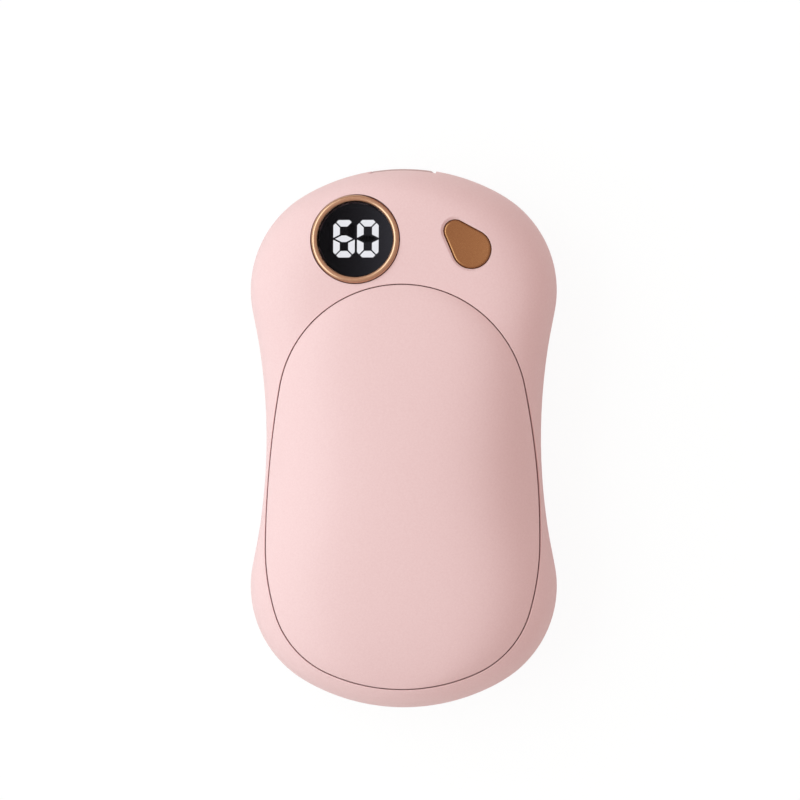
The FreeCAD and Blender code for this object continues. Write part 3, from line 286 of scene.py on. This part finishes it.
class WARMER_OT_electronics(bpy.types.Operator):
    """Finish the socket, the boards, the battery and the leads"""
    bl_idname = "warmer.electronics"
    bl_label = "Electronics"

    def execute(self, context):
        # Drawn steel and tabs under bright nickel, with drawing lines along the socket.
        finish(grained("nickel_plated_steel", "B2B1AD", "A09F9B", 0.26, 0.3, 0.002, (1, 6, 1), Metallic=1.0),
               "usb_socket_shell", "switch_plate", "battery_tabs")
        # Contacts under hard gold.
        finish(grained("gold_plated_contact", "D9B36A", "CCA55C", 0.22, 0.1, 0.001, Metallic=1.0),
               "usb_contacts")
        # Solder mask over glass laminate: glossy green with the weave just showing.
        finish(grained("green_solder_mask", "1E6B3A", "175A30", 0.3, 0.5, 0.006, (1, 1, 4)),
               "main_board", "protection_board")
        # Chip epoxy with a dull moulded face, pressed ferrite and fired ceramic.
        finish(grained("moulded_chip_epoxy", "1C1C1E", "151517", 0.6, 0.12, 0.004), "board_chips")
        finish(grained("sintered_ferrite", "4A4A4D", "3B3B3E", 0.65, 0.2, 0.01), "board_inductor")
        finish(grained("fired_ceramic", "B08A62", "A27D57", 0.4, 0.3, 0.003), "board_capacitors")
        # Laminate foil of a pouch cell: bright silver with soft crinkles.
        finish(grained("crinkled_laminate_foil", "C9CACC", "B4B5B8", 0.3, 4.0, 0.2, Metallic=0.9),
               "battery_cell_front", "battery_cell_rear")
        # Open foam tape with torn pores.
        finish(grained("white_foam_tape", "E4E2DA", "D4D2CA", 0.9, 0.4, 0.08), "cell_tape")
        # Silicone-covered leads, satin, and the sensor's enamelled pair.
        finish(grained("red_silicone_lead", "B0201E", "9C1A18", 0.5, 0.3, 0.01), "battery_lead_red")
        finish(grained("black_silicone_lead", "1D1D1F", "161618", 0.5, 0.3, 0.01), "battery_lead_black")
        finish(grained("white_silicone_lead", "E2E0DC", "D6D4CF", 0.5, 0.3, 0.01),
               "front_heater_leads", "rear_heater_leads")
        finish(grained("grey_enamelled_lead", "77777A", "69696C", 0.4, 0.2, 0.004), "thermistor_leads")
        return {"FINISHED"}


class WARMER_OT_heaters(bpy.types.Operator):
    """Finish the heat plates, the heater films, the pads and the sensor"""
    bl_idname = "warmer.heaters"
    bl_label = "Heaters"

    def execute(self, context):
        # Mill-finish aluminium with rolling lines along its length.
        finish(grained("rolled_aluminium_sheet", "C4C5C8", "B3B4B7", 0.35, 0.4, 0.004, (1, 0.05, 1),
                       Metallic=1.0),
               "front_heat_plate", "rear_heat_plate")
        # Polyimide film: clear amber over etched tracks.
        finish(grained("amber_polyimide_film", "C27A1E", "A96414", 0.28, 1.2, 0.01, (1, 0.08, 1)),
               "front_heater_film", "rear_heater_film")
        # Open-cell foam pads and the sensor's dipped epoxy.
        finish(grained("grey_foam_pad", "5A5A5D", "444447", 0.95, 0.5, 0.12), "front_pad", "rear_pad")
        finish(grained("black_epoxy_bead", "19191B", "111113", 0.2, 0.4, 0.01), "thermistor")
        return {"FINISHED"}


class WARMER_OT_stage(bpy.types.Operator):
    """Lay the floor, set the lights and place the camera"""
    bl_idname = "warmer.stage"
    bl_label = "Stage"

    def execute(self, context):
        sizes = context.scene.warmer_stage
        scene = context.scene
        scene.view_settings.view_transform = "Standard"
        self.floor(sizes)
        self.world(scene, sizes)
        self.softbox("key_softbox", sizes.key_place, sizes.key_size, sizes.key, sizes.key_tint)
        self.camera(scene, sizes)
        return {"FINISHED"}

    def floor(self, sizes):
        """A pale floor that shows as white with a faint shadow."""
        bpy.ops.object.select_all(action="DESELECT")
        bpy.ops.mesh.primitive_plane_add(size=sizes.floor_size, location=(0, 0, -0.02 * MM))
        floor = bpy.context.object
        floor.name = "floor"
        material, tree, output = new_material("matt_white_floor")
        path = add(tree, "ShaderNodeLightPath")
        share = add(tree, "ShaderNodeMath", [(0, path.outputs["Is Camera Ray"])], {"operation": "MULTIPLY"})
        share.inputs[1].default_value = sizes.floor_white
        matt = add(tree, "ShaderNodeBsdfPrincipled", Roughness=0.9, Base_Color=linear("F4F3F2"))
        glow = add(tree, "ShaderNodeEmission", Strength=sizes.floor_glow)
        mixed = add(tree, "ShaderNodeMixShader",
                    [("Fac", share.outputs[0]), (1, matt.outputs[0]), (2, glow.outputs[0])])
        tree.links.new(mixed.outputs[0], output.inputs["Surface"])
        floor.data.materials.append(material)

    def world(self, scene, sizes):
        """White where the camera sees it, and elsewhere a plain light that leans to one side."""
        world = bpy.data.worlds.new("studio_surround")
        scene.world = world
        world.use_nodes = True
        tree = world.node_tree
        tree.nodes.clear()
        path = add(tree, "ShaderNodeLightPath")
        place = add(tree, "ShaderNodeTexCoord")
        lean = add(tree, "ShaderNodeVectorMath", [(0, place.outputs["Generated"])],
                   {"operation": "DOT_PRODUCT"})
        lean.inputs[1].default_value = sizes.ambient_lean
        level = add(tree, "ShaderNodeMapRange", [("Value", lean.outputs["Value"])],
                    From_Min=sizes.ambient_end, To_Max=sizes.ambient)
        ambient = add(tree, "ShaderNodeBackground", [("Strength", level.outputs["Result"])],
                      Color=sizes.ambient_tint)
        white = add(tree, "ShaderNodeBackground", Color=(1, 1, 1, 1), Strength=1.0)
        mixed = add(tree, "ShaderNodeMixShader",
                    [("Fac", path.outputs["Is Camera Ray"]), (1, ambient.outputs[0]), (2, white.outputs[0])])
        add(tree, "ShaderNodeOutputWorld", [("Surface", mixed.outputs[0])])

    def softbox(self, name, place, size, power, tint):
        """A soft rectangular lamp that faces the casing."""
        lamp = bpy.data.lights.new(name, "AREA")
        lamp.shape = "RECTANGLE"
        lamp.size, lamp.size_y = size
        lamp.energy = power
        lamp.color = tint[:3]
        holder = bpy.data.objects.new(name, lamp)
        bpy.context.scene.collection.objects.link(holder)
        holder.location = place
        holder.rotation_euler = Vector(place).to_track_quat("Z", "Y").to_euler()
        holder.visible_camera = False

    def camera(self, scene, sizes):
        """A long lens that looks down on the display side, with the photograph's framing."""
        lens = bpy.data.cameras.new("camera")
        camera = bpy.data.objects.new("camera", lens)
        scene.collection.objects.link(camera)
        scene.camera = camera
        pixel = sizes.view_width / PHOTO_PIXELS
        aim = Vector((sizes.aim[0] * pixel, sizes.aim[1] * pixel, sizes.aim_height * MM))
        camera.location = aim + sizes.distance * Vector((math.sin(sizes.tilt), 0, math.cos(sizes.tilt)))
        camera.rotation_euler = (0, sizes.tilt, 0)
        lens.sensor_width = 36.0
        lens.lens = lens.sensor_width * sizes.distance / sizes.view_width
        lens.clip_start, lens.clip_end = 0.01, 10.0


class WARMER_PT_panel(bpy.types.Panel):
    """Buttons for each step of the dressing"""
    bl_idname = "WARMER_PT_panel"
    bl_label = "Hand Warmer"
    bl_space_type = "VIEW_3D"
    bl_region_type = "UI"
    bl_category = "Hand Warmer"

    def draw(self, context):
        for step in STEPS:
            self.layout.operator(step.bl_idname)


STEPS = (WARMER_OT_casing, WARMER_OT_display, WARMER_OT_button, WARMER_OT_electronics, WARMER_OT_heaters,
         WARMER_OT_stage)
GROUPS = {"warmer_casing": CasingSizes, "warmer_display": DisplaySizes, "warmer_stage": StageSizes}
CLASSES = (*GROUPS.values(), *STEPS, WARMER_PT_panel)


def register():
    for each in CLASSES:
        bpy.utils.register_class(each)
    for name, group in GROUPS.items():
        setattr(bpy.types.Scene, name, bpy.props.PointerProperty(type=group))


def unregister():
    for name in GROUPS:
        delattr(bpy.types.Scene, name)
    for each in reversed(CLASSES):
        bpy.utils.unregister_class(each)


def main():
    """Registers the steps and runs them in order."""
    register()
    bpy.ops.warmer.casing()
    bpy.ops.warmer.display()
    bpy.ops.warmer.button()
    bpy.ops.warmer.electronics()
    bpy.ops.warmer.heaters()
    bpy.ops.warmer.stage()


if __name__ == "__main__":
    main()
